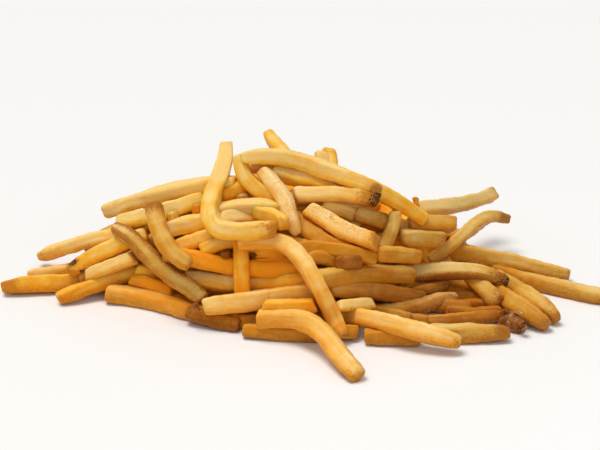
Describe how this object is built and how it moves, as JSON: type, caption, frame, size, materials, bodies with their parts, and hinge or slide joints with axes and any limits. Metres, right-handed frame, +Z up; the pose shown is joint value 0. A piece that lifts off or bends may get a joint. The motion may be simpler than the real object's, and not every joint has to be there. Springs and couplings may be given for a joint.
{
  "type": "french fries portion",
  "caption": "Loose low heap of thin-cut french fries lying crosswise on each other, with single fries reaching out at both sides and at the front.",
  "frame": {"origin": "on the table under the middle of the heap", "axes": "+Z up, +X to the right along the heap's length seen from its front, and the heap's front faces -Y"},
  "size_m": [0.2541, 0.171, 0.0634],
  "materials": {
    "fries": "fried potato, golden with browned ends, slightly oily"
  },
  "bodies": {
    "root": {"fries_heap": "fries"}
  },
  "joints": []
}
